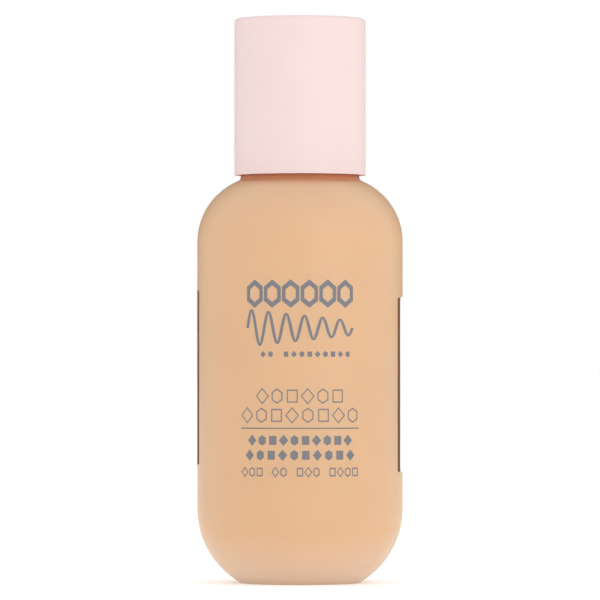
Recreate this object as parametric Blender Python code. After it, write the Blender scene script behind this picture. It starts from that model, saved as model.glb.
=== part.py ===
"""Glass foundation bottle with a treatment pump under a pull-off overcap.

The bottle stands on z = 0 with its axis on Z and its front facing -Y. Sizes are in millimetres
and become metres (MM) where a mesh is made. A turned piece is given by its section: a list of
(radius, height) points that runs once round the solid.
"""

import math

import bmesh
import bpy
from mathutils import Matrix, Vector

MM = 0.001

# Driving dimensions
BODY_RADIUS = 18.0
BODY_WALL = 4.8
CAP_RADIUS = 11.49
CAP_WALL = 1.14
CAP_BOTTOM = 71.19
TOTAL_HEIGHT = 98.58

# Right-hand thread
THREAD_PITCH = 3.0
NECK_THREAD_RADIUS = 8.7
NECK_THREAD_START = 74.4
NECK_THREAD_TURNS = 1.25
NECK_THREAD_ROOT = 1.7      # width of the ridge at its wall
NECK_THREAD_CREST = 0.8     # width of the ridge at its top
CLOSURE_THREAD_RADIUS = 7.9
CLOSURE_THREAD_START = 73.05
CLOSURE_THREAD_TURNS = 0.75
CLOSURE_THREAD_ROOT = 1.3
CLOSURE_THREAD_CREST = 0.6
THREAD_SINK = 0.25      # how far a ridge is sunk into its wall
THREAD_FADE = 8         # ridges fade out over one turn divided by this
THREAD_BLUNT = 0.15     # share of its height that a ridge has left at its very ends

SIDES = 40          # facets round the large pieces
SMALL_SIDES = 24    # facets round the pump pieces
FIT = 0.05          # gap between pieces that touch
RUN_GAP = 0.1       # gap between pieces that slide past each other, or slip over each other
MERGE = 0.001       # points nearer than this are one point

# Bottle outside
BASE_FILLET = 1.12
HEEL_RADIUS = 14.8
HEEL_TOP = 12.9
SHOULDER_RADIUS = 11.51
SHOULDER_START = 59.55
REST_INNER_RADIUS = 7.6
PUSH_UP = 0.6
PUSH_UP_SLOPE = 1.2
LAND_RADIUS = 10.36
LAND_FILLET = 0.9
LAND_TOP = 71.14
LAND_EDGE = 0.15
NECK_RADIUS = 7.6
NECK_TOP = 80.5

# Bottle inside
INNER_RADIUS = BODY_RADIUS - BODY_WALL
FLOOR = 6.0
FLOOR_CORNER = 7.5
BORE_RADIUS = 5.0
BORE_MOUTH = BODY_RADIUS - SHOULDER_RADIUS - BORE_RADIUS
NECK_EDGE = 0.4
FILL_LEVEL = 71.0
FILL_GAP = 0.12
WELL_GAP = 0.15         # room round the pump and the tube, so that they can lift out

# Back label, angles in degrees round from the front, towards +X first
LABEL_START = 75.0
LABEL_END = 278.0
LABEL_HEIGHT = 30.6
LABEL_BOTTOM = 19.3
LABEL_SKEW = 1.3
LABEL_THICKNESS = 0.1
LABEL_STRIPS = 40

# Overcap details
CAP_ROOF = 1.38
CAP_EDGE = 0.67
CAP_LIP = 0.1
CAP_INNER_EDGE = 0.5
BEAD_HEIGHT = 73.7
BEAD_HALF = 0.2
BEAD_SLOPE = 0.3
BEAD_DEPTH = 0.18
RIB_COUNT = 8
RIB_RADIUS = 0.62
RIB_DEPTH = 0.7
RIB_BOTTOM = 75.0
RIB_TOP = 84.0

# Stack on the neck, bottom up
GASKET_BOTTOM = NECK_TOP + FIT
GASKET_TOP = GASKET_BOTTOM + 0.7
FLANGE_BOTTOM = GASKET_TOP + FIT
FLANGE_TOP = FLANGE_BOTTOM + 0.8
FLANGE_RADIUS = 7.3
RETAINER_TOP = FLANGE_TOP + 0.7
GUIDE_TOP = RETAINER_TOP + 2.0
CLOSURE_PLATE_BOTTOM = RETAINER_TOP + FIT
CLOSURE_TOP = CLOSURE_PLATE_BOTTOM + 1.0
CLOSURE_BOTTOM = 71.8
CLOSURE_RADIUS = 9.6
CLOSURE_BORE = 8.9
CLOSURE_EDGE = 0.3
GUIDE_HOLE = 2.75
GUIDE_RADIUS = 2.6
SHROUD_RADIUS = 10.1
SHROUD_WALL = 0.42
SHROUD_BOTTOM = 71.6
SHROUD_SHOULDER = CLOSURE_TOP + 0.45
SHROUD_EDGE = 0.8
CHIMNEY_RADIUS = 7.4
CHIMNEY_BORE = 7.0
CHIMNEY_TOP = 88.8
CHIMNEY_FOOT = 0.2
CHIMNEY_LIP = 0.1

# Pump, bottom up
TUBE_RADIUS = 1.5
TUBE_BORE = 0.9
TUBE_BOTTOM = 8.0
TUBE_TOP = 62.0
TUBE_CUT = 1.6
HOUSING_RADIUS = 4.5
HOUSING_BORE = 3.6
NIPPLE_RADIUS = 2.35
NIPPLE_BOTTOM = 58.0
NIPPLE_TOP = 62.3
SEAT_BOTTOM = 64.0
SEAT_TAPER = 0.9        # the housing narrows by this much at the ball seat
SEAT_SLOPE = 1.2        # height that the housing's taper takes
STOP_STEP = 0.3         # height of the cone behind a tube's end
THROAT_RADIUS = 0.6
BALL_RADIUS = 1.25
BALL_CHAMBER = 1.75
VENT_HEIGHT = 79.0
VENT_RADIUS = 0.35
LEDGE = 67.5
GRID_TOP = LEDGE + FIT + 0.7
GRID_HOLE = 0.8
FLOW_HOLES = 4
FLOW_HOLE_RADIUS = 0.38
FLOW_HOLE_CIRCLE = 1.3
STEM_RADIUS = 1.6
STEM_BORE = 0.9
STEM_TOP = 91.0
FOOT_BOTTOM = 76.85
FOOT_TOP = FOOT_BOTTOM + 0.7
FOOT_RADIUS = 2.9
FOOT_EDGE = 0.25
PEG_TOP = FOOT_TOP + 4.0
PEG_EDGE = 0.35
PISTON_BOTTOM = FOOT_TOP + RUN_GAP
PISTON_TOP = PISTON_BOTTOM + 2.5
PISTON_GAP = 0.08
PISTON_WAIST = HOUSING_BORE - 0.7
STEM_BOTTOM = FOOT_TOP + 0.06
LIP_EDGE = 0.1
LIP_WIDTH = 0.35
LIP_LENGTH = 0.8
GUIDE_BOTTOM = 80.8
RETAINER_RIM = FLANGE_RADIUS - 0.4
SPRING_RADIUS = 2.4
SPRING_WIRE = 0.25
SPRING_TURNS = 6.5
SPRING_POINTS = 14      # points on each turn
SPRING_CLOSED = 1.15    # turns that lie flat at each end
SPRING_CLEAR = 1.1      # closed turns lie this many wire widths apart

# Button
BUTTON_RADIUS = 6.7
BUTTON_WALL = 0.9
BUTTON_BOTTOM = 88.0
BUTTON_TOP = 96.0
SPOUT_HEIGHT = 94.2
SPOUT_REACH = 8.9
SPOUT_ROOT = 5.0
SPOUT_ROOT_RADIUS = 1.3
SPOUT_TIP_RADIUS = 1.05
OUTLET_RADIUS = 0.55
RISE_RADIUS = 0.7
BUTTON_ROOF = 1.2
BUTTON_EDGE = 0.8
DISH_RADIUS = 4.4
DISH_EDGE_DEPTH = 0.25
DISH_DEPTH = 0.42
SOCKET_BORE = 2.55
SOCKET_WALL = 0.85
SOCKET_EDGE = 0.4
SOCKET_BOTTOM = 90.0
SOCKET_TOP = 93.1
INSERT_BOTTOM = 89.5
INSERT_TOP = 93.0
INSERT_BORE = 0.8


def finish(name, colour, roughness, metallic=0.0):
    """A plain finish of one colour."""
    material = bpy.data.materials.new(name)
    material.use_nodes = True
    shader = material.node_tree.nodes["Principled BSDF"]
    shader.inputs["Base Color"].default_value = (*colour, 1.0)
    shader.inputs["Roughness"].default_value = roughness
    shader.inputs["Metallic"].default_value = metallic
    return material


def place(name, mesh, material):
    """Puts a mesh in the scene as one named piece, shaded smooth but for its real edges."""
    mesh.materials.append(material)
    mesh.shade_smooth()
    mesh.set_sharp_from_angle(angle=math.radians(35))
    piece = bpy.data.objects.new(name, mesh)
    bpy.context.scene.collection.objects.link(piece)
    return piece


def mesh_from(name, builder):
    """Turns a bmesh into a mesh with its faces pointing out."""
    bmesh.ops.recalc_face_normals(builder, faces=builder.faces)
    mesh = bpy.data.meshes.new(name)
    builder.to_mesh(mesh)
    builder.free()
    return mesh


def arc(centre, radius, start, end, steps):
    """Points on a round stretch of a section, with angles in degrees from outward to upward."""
    turns = [math.radians(start + (end - start) * i / steps) for i in range(steps + 1)]
    return [(centre[0] + radius * math.cos(t), centre[1] + radius * math.sin(t)) for t in turns]


def turned(name, section, material, sides=SIDES):
    """A body of revolution. A section that starts and ends on the axis is closed by the axis."""
    builder = bmesh.new()
    verts = [builder.verts.new((r * MM, 0.0, z * MM)) for r, z in section]
    on_axis = section[0][0] == 0.0 and section[-1][0] == 0.0
    pairs = zip(verts, verts[1:] if on_axis else verts[1:] + verts[:1])
    edges = [builder.edges.new(pair) for pair in pairs]
    bmesh.ops.spin(
        builder, geom=verts + edges, cent=(0, 0, 0), axis=(0, 0, 1),
        angle=math.tau, steps=sides, use_merge=True,
    )
    bmesh.ops.remove_doubles(builder, verts=builder.verts, dist=MERGE * MM)
    return place(name, mesh_from(name, builder), material)


def ridge(name, wall_radius, crest_radius, wall_width, crest_width, low, turns):
    """A thread ridge that runs up a wall and fades out at both ends. It is sunk into the wall."""
    outward = 1.0 if crest_radius > wall_radius else -1.0
    root_radius = wall_radius - outward * THREAD_SINK
    steps = round(turns * SIDES)
    fade = SIDES // THREAD_FADE
    builder = bmesh.new()
    rows = []
    for i in range(steps + 1):
        height = min(1.0, THREAD_BLUNT + min(i, steps - i) / fade)
        crest = wall_radius + (crest_radius - wall_radius) * height
        angle = math.tau * i / SIDES
        middle = low + THREAD_PITCH * i / SIDES
        corners = [
            (root_radius, middle - wall_width / 2), (crest, middle - crest_width / 2),
            (crest, middle + crest_width / 2), (root_radius, middle + wall_width / 2),
        ]
        rows.append([
            builder.verts.new((r * math.cos(angle) * MM, r * math.sin(angle) * MM, z * MM))
            for r, z in corners
        ])
    for row, following in zip(rows, rows[1:]):
        for k in range(4):
            builder.faces.new((row[k], row[(k + 1) % 4], following[(k + 1) % 4], following[k]))
    builder.faces.new(rows[0])
    builder.faces.new(rows[-1])
    return place(name, mesh_from(name, builder), finish(name, (0.8, 0.8, 0.8), 0.5))


def rod(name, start, end, start_radius, end_radius, sides=SMALL_SIDES):
    """A plain or tapered rod between two points."""
    start, end = Vector(start) * MM, Vector(end) * MM
    along = end - start
    turn = along.to_track_quat("Z", "Y").to_matrix().to_4x4()
    builder = bmesh.new()
    bmesh.ops.create_cone(
        builder, cap_ends=True, segments=sides, radius1=start_radius * MM,
        radius2=end_radius * MM, depth=along.length,
        matrix=Matrix.Translation((start + end) / 2) @ turn,
    )
    return place(name, mesh_from(name, builder), finish(name, (0.8, 0.8, 0.8), 0.5))


def combine(piece, tool, operation):
    """Joins a tool to a piece, or cuts it away. The tool itself isn't a piece."""
    tool.hide_render = True
    tool.display_type = "WIRE"
    modifier = piece.modifiers.new(tool.name, "BOOLEAN")
    modifier.operation = operation
    modifier.object = tool
    modifier.solver = "EXACT"


def land_joint():
    """Centre of the small hollow fillet where the shoulder meets the land, and its angle."""
    reach = SHOULDER_RADIUS + LAND_FILLET
    across = LAND_RADIUS + LAND_FILLET - (BODY_RADIUS - SHOULDER_RADIUS)
    up = math.sqrt(reach ** 2 - across ** 2)
    centre = (LAND_RADIUS + LAND_FILLET, SHOULDER_START + up)
    return centre, math.degrees(math.atan2(up, across))


def heel_joint():
    """Centre of the small base fillet inside the heel arc, and the angle where they meet."""
    reach = HEEL_RADIUS - BASE_FILLET
    drop = HEEL_TOP - BASE_FILLET
    across = math.sqrt(reach ** 2 - drop ** 2)
    centre = (BODY_RADIUS - HEEL_RADIUS + across, BASE_FILLET)
    return centre, math.degrees(math.atan2(-drop, across))


def bottle():
    """Heavy round glass bottle: raised base, round heel and shoulder, land ring, threaded neck."""
    base_centre, heel_angle = heel_joint()
    land_centre, land_angle = land_joint()
    heel_centre = (BODY_RADIUS - HEEL_RADIUS, HEEL_TOP)
    shoulder_centre = (BODY_RADIUS - SHOULDER_RADIUS, SHOULDER_START)
    outside = [(0.0, PUSH_UP), (REST_INNER_RADIUS - PUSH_UP_SLOPE, PUSH_UP), (REST_INNER_RADIUS, 0.0)]
    outside += arc(base_centre, BASE_FILLET, -90, heel_angle, 3)
    outside += arc(heel_centre, HEEL_RADIUS, heel_angle, 0, 7)[1:]
    outside += arc(shoulder_centre, SHOULDER_RADIUS, 0, land_angle, 7)
    outside += arc(land_centre, LAND_FILLET, land_angle + 180, 180, 3)[1:-1]
    outside += [(LAND_RADIUS, LAND_TOP - LAND_EDGE), (LAND_RADIUS - LAND_EDGE, LAND_TOP)]
    outside += [(NECK_RADIUS + NECK_EDGE, LAND_TOP), (NECK_RADIUS, LAND_TOP + NECK_EDGE)]
    outside += [(NECK_RADIUS, NECK_TOP - NECK_EDGE), (NECK_RADIUS - NECK_EDGE, NECK_TOP)]
    mouth = [(BORE_RADIUS + NECK_EDGE, NECK_TOP), (BORE_RADIUS, NECK_TOP - NECK_EDGE)]
    section = outside + mouth + hollow(0.0)
    piece = turned("bottle", section, finish("frosted_glass", (0.86, 0.66, 0.5), 0.45))
    thread = ridge(
        "neck_thread", NECK_RADIUS, NECK_THREAD_RADIUS, NECK_THREAD_ROOT, NECK_THREAD_CREST,
        NECK_THREAD_START, NECK_THREAD_TURNS)
    combine(piece, thread, "UNION")
    return piece


def hollow(gap):
    """The inside of the glass from the bore down to the middle of the floor, drawn in by a gap."""
    centre_radius = BODY_RADIUS - SHOULDER_RADIUS
    inner_shoulder = SHOULDER_RADIUS - BODY_WALL
    mouth_centre = (centre_radius, SHOULDER_START + inner_shoulder + BORE_MOUTH)
    floor_centre = (INNER_RADIUS - FLOOR_CORNER, FLOOR + FLOOR_CORNER)
    section = arc(mouth_centre, BORE_MOUTH + gap, 180, 270, 3)
    section += arc((centre_radius, SHOULDER_START), inner_shoulder - gap, 90, 0, 5)
    section += arc(floor_centre, FLOOR_CORNER - gap, 0, -90, 5)
    section += [(0.0, FLOOR + gap)]
    return section


def foundation_fill():
    """The foundation: full to the bore, with straight wells in which the dip tube and the pump stand."""
    pump_well = HOUSING_RADIUS + WELL_GAP
    nipple_well = NIPPLE_RADIUS + WELL_GAP
    tube_well = TUBE_RADIUS + WELL_GAP
    section = hollow(FILL_GAP)[::-1]
    section += [(BORE_RADIUS - FILL_GAP, FILL_LEVEL), (pump_well, FILL_LEVEL)]
    section += [(pump_well, SEAT_BOTTOM - 2 * WELL_GAP), (nipple_well, NIPPLE_TOP - 2 * WELL_GAP)]
    section += [(nipple_well, NIPPLE_BOTTOM - WELL_GAP), (tube_well, NIPPLE_BOTTOM - WELL_GAP)]
    section += [(tube_well, TUBE_BOTTOM - WELL_GAP), (0.0, TUBE_BOTTOM - WELL_GAP)]
    return turned("foundation_fill", section, finish("foundation", (0.79, 0.49, 0.30), 0.35))


def back_label():
    """Printed label that wraps round the back, a little out of square with the axis."""
    radius = BODY_RADIUS + FIT
    builder = bmesh.new()
    columns = []
    for i in range(LABEL_STRIPS + 1):
        share = i / LABEL_STRIPS
        angle = math.radians(LABEL_START + (LABEL_END - LABEL_START) * share)
        low = LABEL_BOTTOM + LABEL_SKEW * share
        x, y = radius * math.sin(angle), -radius * math.cos(angle)
        columns.append([
            builder.verts.new((x * MM, y * MM, z * MM)) for z in (low, low + LABEL_HEIGHT)
        ])
    for column, following in zip(columns, columns[1:]):
        builder.faces.new((column[0], following[0], following[1], column[1]))
    for face in builder.faces:
        face.normal_update()
    mesh = bpy.data.meshes.new("back_label")
    builder.to_mesh(mesh)
    builder.free()
    piece = place("back_label", mesh, finish("label_film", (0.93, 0.92, 0.9), 0.45))
    wall = piece.modifiers.new("thickness", "SOLIDIFY")
    wall.thickness = LABEL_THICKNESS * MM
    wall.offset = 1.0
    return piece


def overcap():
    """Tall pull-off cap with a grip bead and grip ribs inside its skirt."""
    inside = CAP_RADIUS - CAP_WALL
    ceiling = TOTAL_HEIGHT - CAP_ROOF
    bead = inside - BEAD_DEPTH
    section = [(0.0, ceiling), (inside - CAP_INNER_EDGE, ceiling), (inside, ceiling - CAP_INNER_EDGE)]
    section += [(inside, BEAD_HEIGHT + BEAD_HALF + BEAD_SLOPE), (bead, BEAD_HEIGHT + BEAD_HALF)]
    section += [(bead, BEAD_HEIGHT - BEAD_HALF), (inside, BEAD_HEIGHT - BEAD_HALF - BEAD_SLOPE)]
    section += [(inside, CAP_BOTTOM + 2 * CAP_LIP), (inside + 2 * CAP_LIP, CAP_BOTTOM)]
    section += [(CAP_RADIUS - CAP_LIP, CAP_BOTTOM), (CAP_RADIUS, CAP_BOTTOM + CAP_LIP)]
    section += arc((CAP_RADIUS - CAP_EDGE, TOTAL_HEIGHT - CAP_EDGE), CAP_EDGE, 0, 90, 4)
    section += [(0.0, TOTAL_HEIGHT)]
    piece = turned("overcap", section, finish("cap_plastic", (0.87, 0.68, 0.68), 0.5))
    for i in range(RIB_COUNT):
        angle = math.tau * (i + 0.5) / RIB_COUNT
        foot = Vector((math.cos(angle), math.sin(angle), 0)) * (CAP_RADIUS - RIB_DEPTH)
        low, high = foot + Vector((0, 0, RIB_BOTTOM)), foot + Vector((0, 0, RIB_TOP))
        combine(piece, rod(f"grip_rib_{i + 1}", low, high, RIB_RADIUS, RIB_RADIUS, 8), "UNION")
    return piece


def screw_closure():
    """Threaded closure that clamps the pump on the neck."""
    section = [
        (CLOSURE_BORE, CLOSURE_BOTTOM), (CLOSURE_RADIUS, CLOSURE_BOTTOM),
        (CLOSURE_RADIUS, CLOSURE_TOP - CLOSURE_EDGE), (CLOSURE_RADIUS - CLOSURE_EDGE, CLOSURE_TOP),
        (GUIDE_HOLE, CLOSURE_TOP), (GUIDE_HOLE, CLOSURE_PLATE_BOTTOM),
        (CLOSURE_BORE, CLOSURE_PLATE_BOTTOM),
    ]
    piece = turned("screw_closure", section, finish("closure_plastic", (0.9, 0.89, 0.87), 0.4))
    thread = ridge(
        "closure_thread", CLOSURE_BORE, CLOSURE_THREAD_RADIUS, CLOSURE_THREAD_ROOT, CLOSURE_THREAD_CREST,
        CLOSURE_THREAD_START, CLOSURE_THREAD_TURNS)
    combine(piece, thread, "UNION")
    return piece


def collar_shroud():
    """Thin metal shroud over the closure, with the chimney that the button dives into."""
    wall = SHROUD_WALL
    shoulder = SHROUD_SHOULDER
    section = [(SHROUD_RADIUS - wall, SHROUD_BOTTOM), (SHROUD_RADIUS, SHROUD_BOTTOM)]
    section += arc((SHROUD_RADIUS - SHROUD_EDGE, shoulder - SHROUD_EDGE), SHROUD_EDGE, 0, 90, 4)
    section += [(CHIMNEY_RADIUS + CHIMNEY_FOOT, shoulder), (CHIMNEY_RADIUS, shoulder + CHIMNEY_FOOT)]
    section += [(CHIMNEY_RADIUS, CHIMNEY_TOP - CHIMNEY_LIP), (CHIMNEY_RADIUS - CHIMNEY_LIP, CHIMNEY_TOP)]
    section += [(CHIMNEY_BORE, CHIMNEY_TOP), (CHIMNEY_BORE, CLOSURE_TOP + FIT)]
    section += [(CLOSURE_RADIUS - CLOSURE_EDGE + FIT, CLOSURE_TOP + FIT)]
    section += [(SHROUD_RADIUS - wall, CLOSURE_TOP - CLOSURE_EDGE - FIT)]
    return turned("collar_shroud", section, finish("shroud_metal", (0.86, 0.84, 0.82), 0.3, 1.0))


def neck_gasket():
    """Soft washer between the neck and the pump's flange."""
    hole = HOUSING_RADIUS + RUN_GAP
    section = [
        (hole, GASKET_BOTTOM), (FLANGE_RADIUS, GASKET_BOTTOM),
        (FLANGE_RADIUS, GASKET_TOP), (hole, GASKET_TOP),
    ]
    return turned("neck_gasket", section, finish("gasket_foam", (0.9, 0.9, 0.88), 0.7), SMALL_SIDES)


def pump_housing():
    """Pump body: flange, cylinder, ball seat and the socket for the dip tube."""
    section = [
        (NIPPLE_RADIUS, NIPPLE_BOTTOM), (NIPPLE_RADIUS, NIPPLE_TOP),
        (HOUSING_RADIUS - SEAT_TAPER, SEAT_BOTTOM), (HOUSING_RADIUS, SEAT_BOTTOM + SEAT_SLOPE),
        (HOUSING_RADIUS, FLANGE_BOTTOM), (FLANGE_RADIUS, FLANGE_BOTTOM),
        (FLANGE_RADIUS, FLANGE_TOP), (HOUSING_BORE, FLANGE_TOP), (HOUSING_BORE, LEDGE),
        (BALL_CHAMBER, LEDGE), (BALL_CHAMBER, SEAT_BOTTOM + BALL_CHAMBER - THROAT_RADIUS),
        (THROAT_RADIUS, SEAT_BOTTOM), (THROAT_RADIUS, TUBE_TOP + STOP_STEP),
        (TUBE_RADIUS + FIT, TUBE_TOP + RUN_GAP), (TUBE_RADIUS + FIT, NIPPLE_BOTTOM),
    ]
    piece = turned("pump_housing", section, finish("pump_plastic", (0.88, 0.88, 0.86), 0.35), SMALL_SIDES)
    vent = rod(
        "vent_hole", (HOUSING_BORE - 1, 0, VENT_HEIGHT), (HOUSING_RADIUS + 1, 0, VENT_HEIGHT),
        VENT_RADIUS, VENT_RADIUS, 8)
    combine(piece, vent, "DIFFERENCE")
    return piece


def housing_retainer():
    """Ring that closes the housing, holds the piston in and guides the stem."""
    bore = STEM_RADIUS + RUN_GAP
    sleeve = HOUSING_BORE - FIT
    section = [
        (bore, GUIDE_BOTTOM), (sleeve, GUIDE_BOTTOM), (sleeve, FLANGE_TOP + FIT),
        (RETAINER_RIM, FLANGE_TOP + FIT), (RETAINER_RIM, RETAINER_TOP),
        (GUIDE_RADIUS, RETAINER_TOP), (GUIDE_RADIUS, GUIDE_TOP), (bore, GUIDE_TOP),
    ]
    return turned("housing_retainer", section, finish("retainer_plastic", (0.9, 0.9, 0.9), 0.35), SMALL_SIDES)


def dip_tube():
    """Tube that reaches down to the floor, with its lower end cut on the slant."""
    section = [
        (TUBE_BORE, TUBE_BOTTOM), (TUBE_RADIUS, TUBE_BOTTOM),
        (TUBE_RADIUS, TUBE_TOP), (TUBE_BORE, TUBE_TOP),
    ]
    piece = turned("dip_tube", section, finish("tube_plastic", (0.9, 0.9, 0.9), 0.3), SMALL_SIDES)
    slope = TUBE_CUT / (2 * TUBE_RADIUS)
    for vert in piece.data.vertices:
        if vert.co.z < (TUBE_BOTTOM + 1.0) * MM:
            vert.co.z += slope * (vert.co.x + TUBE_RADIUS * MM)
    return piece


def inlet_ball():
    """Check ball that rests on the housing's cone."""
    contact = BALL_RADIUS * math.sqrt(0.5)
    height = SEAT_BOTTOM + (contact - THROAT_RADIUS) + contact + FIT * math.sqrt(2)
    builder = bmesh.new()
    bmesh.ops.create_icosphere(builder, subdivisions=3, radius=BALL_RADIUS * MM)
    steel = finish("ball_steel", (0.8, 0.8, 0.8), 0.15, 1.0)
    piece = place("inlet_ball", mesh_from("inlet_ball", builder), steel)
    piece.location.z = height * MM
    return piece


def ball_retainer():
    """Perforated ring over the ball, which the return spring stands on."""
    section = [
        (GRID_HOLE, LEDGE + FIT), (HOUSING_BORE - 2 * FIT, LEDGE + FIT),
        (HOUSING_BORE - 2 * FIT, GRID_TOP), (GRID_HOLE, GRID_TOP),
    ]
    piece = turned("ball_retainer", section, finish("grid_plastic", (0.88, 0.88, 0.86), 0.35), SMALL_SIDES)
    for i in range(FLOW_HOLES):
        angle = math.tau * (i + 0.5) / FLOW_HOLES
        x, y = FLOW_HOLE_CIRCLE * math.cos(angle), FLOW_HOLE_CIRCLE * math.sin(angle)
        low, high = (x, y, LEDGE - 1), (x, y, GRID_TOP + 1)
        hole = rod(f"flow_hole_{i + 1}", low, high, FLOW_HOLE_RADIUS, FLOW_HOLE_RADIUS, 10)
        combine(piece, hole, "DIFFERENCE")
    return piece


def return_spring():
    """Compression spring with closed end coils."""
    low = GRID_TOP + FIT + SPRING_WIRE
    high = FOOT_BOTTOM - FIT - SPRING_WIRE
    steps = round(SPRING_TURNS * SPRING_POINTS)
    end_turn = SPRING_CLOSED / SPRING_TURNS
    end_rise = 2 * SPRING_WIRE * SPRING_CLOSED * SPRING_CLEAR
    curve = bpy.data.curves.new("return_spring", "CURVE")
    curve.dimensions = "3D"
    curve.bevel_depth = SPRING_WIRE * MM
    curve.bevel_resolution = 1
    curve.use_fill_caps = True
    wire = curve.splines.new("POLY")
    wire.points.add(steps)
    for i, point in enumerate(wire.points):
        share = i / steps
        angle = math.tau * SPRING_TURNS * share
        if share < end_turn:
            z = low + end_rise * share / end_turn
        elif share > 1 - end_turn:
            z = high - end_rise * (1 - share) / end_turn
        else:
            middle = (share - end_turn) / (1 - 2 * end_turn)
            z = low + end_rise + (high - low - 2 * end_rise) * middle
        point.co = (SPRING_RADIUS * math.cos(angle) * MM, SPRING_RADIUS * math.sin(angle) * MM, z * MM, 1)
    curve.materials.append(finish("spring_steel", (0.75, 0.75, 0.76), 0.25, 1.0))
    piece = bpy.data.objects.new("return_spring", curve)
    bpy.context.scene.collection.objects.link(piece)
    return piece


def piston_seat():
    """Foot of the stem: a disc under the piston and a peg that snaps into the stem."""
    section = [
        (0.0, FOOT_BOTTOM), (FOOT_RADIUS, FOOT_BOTTOM), (FOOT_RADIUS, FOOT_TOP - FOOT_EDGE),
        (FOOT_RADIUS - FOOT_EDGE, FOOT_TOP), (STEM_BORE - FIT, FOOT_TOP),
        (STEM_BORE - FIT, PEG_TOP - PEG_EDGE), (STEM_BORE - PEG_EDGE, PEG_TOP), (0.0, PEG_TOP),
    ]
    return turned("piston_seat", section, finish("seat_plastic", (0.9, 0.9, 0.88), 0.35), SMALL_SIDES)


def piston():
    """Soft piston with two sealing lips, free to slip on the stem and open the outlet."""
    lip = HOUSING_BORE - PISTON_GAP
    bore = STEM_RADIUS + PISTON_GAP
    section = [
        (bore, PISTON_BOTTOM), (PISTON_WAIST, PISTON_BOTTOM), (lip, PISTON_BOTTOM + LIP_EDGE),
        (lip, PISTON_BOTTOM + LIP_WIDTH), (PISTON_WAIST, PISTON_BOTTOM + LIP_LENGTH),
        (PISTON_WAIST, PISTON_TOP - LIP_LENGTH), (lip, PISTON_TOP - LIP_WIDTH),
        (lip, PISTON_TOP - LIP_EDGE), (PISTON_WAIST, PISTON_TOP), (bore, PISTON_TOP),
    ]
    return turned("piston", section, finish("piston_plastic", (0.93, 0.93, 0.93), 0.5), SMALL_SIDES)


def stem():
    """Hollow stem that carries the foundation up to the button."""
    section = [
        (STEM_BORE, STEM_BOTTOM), (STEM_RADIUS, STEM_BOTTOM), (STEM_RADIUS, STEM_TOP), (STEM_BORE, STEM_TOP),
    ]
    return turned("stem", section, finish("stem_plastic", (0.92, 0.92, 0.92), 0.3), SMALL_SIDES)


def actuator_insert():
    """Socket inside the button that seals on the stem."""
    section = [
        (STEM_RADIUS + FIT, INSERT_BOTTOM), (SOCKET_BORE - FIT, INSERT_BOTTOM),
        (SOCKET_BORE - FIT, INSERT_TOP), (INSERT_BORE, INSERT_TOP),
        (INSERT_BORE, STEM_TOP + STOP_STEP), (STEM_RADIUS + FIT, STEM_TOP + RUN_GAP),
    ]
    return turned("actuator_insert", section, finish("insert_plastic", (0.85, 0.85, 0.85), 0.35), SMALL_SIDES)


def actuator_button():
    """Dished push button with a side spout and a drilled outlet."""
    inside = BUTTON_RADIUS - BUTTON_WALL
    ceiling = BUTTON_TOP - BUTTON_ROOF
    socket = SOCKET_BORE + SOCKET_WALL
    section = [(0.0, SOCKET_TOP), (SOCKET_BORE, SOCKET_TOP), (SOCKET_BORE, SOCKET_BOTTOM)]
    section += [(socket, SOCKET_BOTTOM), (socket, ceiling - SOCKET_EDGE), (socket + SOCKET_EDGE, ceiling)]
    section += [(inside, ceiling), (inside, BUTTON_BOTTOM), (BUTTON_RADIUS, BUTTON_BOTTOM)]
    section += arc((BUTTON_RADIUS - BUTTON_EDGE, BUTTON_TOP - BUTTON_EDGE), BUTTON_EDGE, 0, 90, 4)
    section += [(DISH_RADIUS, BUTTON_TOP - DISH_EDGE_DEPTH), (0.0, BUTTON_TOP - DISH_DEPTH)]
    piece = turned("actuator_button", section, finish("button_plastic", (0.92, 0.9, 0.88), 0.3))
    root, tip = (0, -SPOUT_ROOT, SPOUT_HEIGHT), (0, -SPOUT_REACH, SPOUT_HEIGHT)
    spout = rod("spout", root, tip, SPOUT_ROOT_RADIUS, SPOUT_TIP_RADIUS)
    inner, outer = (0, OUTLET_RADIUS, SPOUT_HEIGHT), (0, -SPOUT_REACH - 1, SPOUT_HEIGHT)
    outlet = rod("outlet", inner, outer, OUTLET_RADIUS, OUTLET_RADIUS, 16)
    foot, head = (0, 0, SOCKET_TOP - 1), (0, 0, SPOUT_HEIGHT + OUTLET_RADIUS / 2)
    rise = rod("rise", foot, head, RISE_RADIUS, RISE_RADIUS, 16)
    combine(piece, spout, "UNION")
    combine(piece, outlet, "DIFFERENCE")
    combine(piece, rise, "DIFFERENCE")
    return piece


def axis_frame(name, height, pieces):
    """An empty on the bottle's axis at a joint's height, which carries the pieces that move with it."""
    frame = bpy.data.objects.new(name, None)
    frame.location.z = height * MM
    bpy.context.scene.collection.objects.link(frame)
    for piece in pieces:
        piece.parent = frame
        piece.matrix_parent_inverse = Matrix.Translation((0, 0, -height * MM))
    return frame


def main():
    for old in list(bpy.data.objects):
        bpy.data.objects.remove(old, do_unlink=True)
    bottle()
    foundation_fill()
    back_label()
    button = axis_frame("button_swivel", STEM_TOP, [actuator_button(), actuator_insert()])
    sliding_seal = axis_frame("piston_slip", PISTON_BOTTOM, [piston()])
    plunger = axis_frame("plunger_press", STEM_TOP, [stem(), piston_seat(), button, sliding_seal])
    ball = axis_frame("ball_lift", SEAT_BOTTOM, [inlet_ball()])
    cap = axis_frame("overcap_pull", CAP_BOTTOM, [overcap()])
    closure = axis_frame("closure_turn", CLOSURE_BOTTOM, [screw_closure(), collar_shroud(), cap])
    fixed = [neck_gasket(), pump_housing(), housing_retainer(), dip_tube(), ball_retainer(), return_spring()]
    axis_frame("pump_lift", FLANGE_BOTTOM, [*fixed, plunger, ball, closure])


main()
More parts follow.
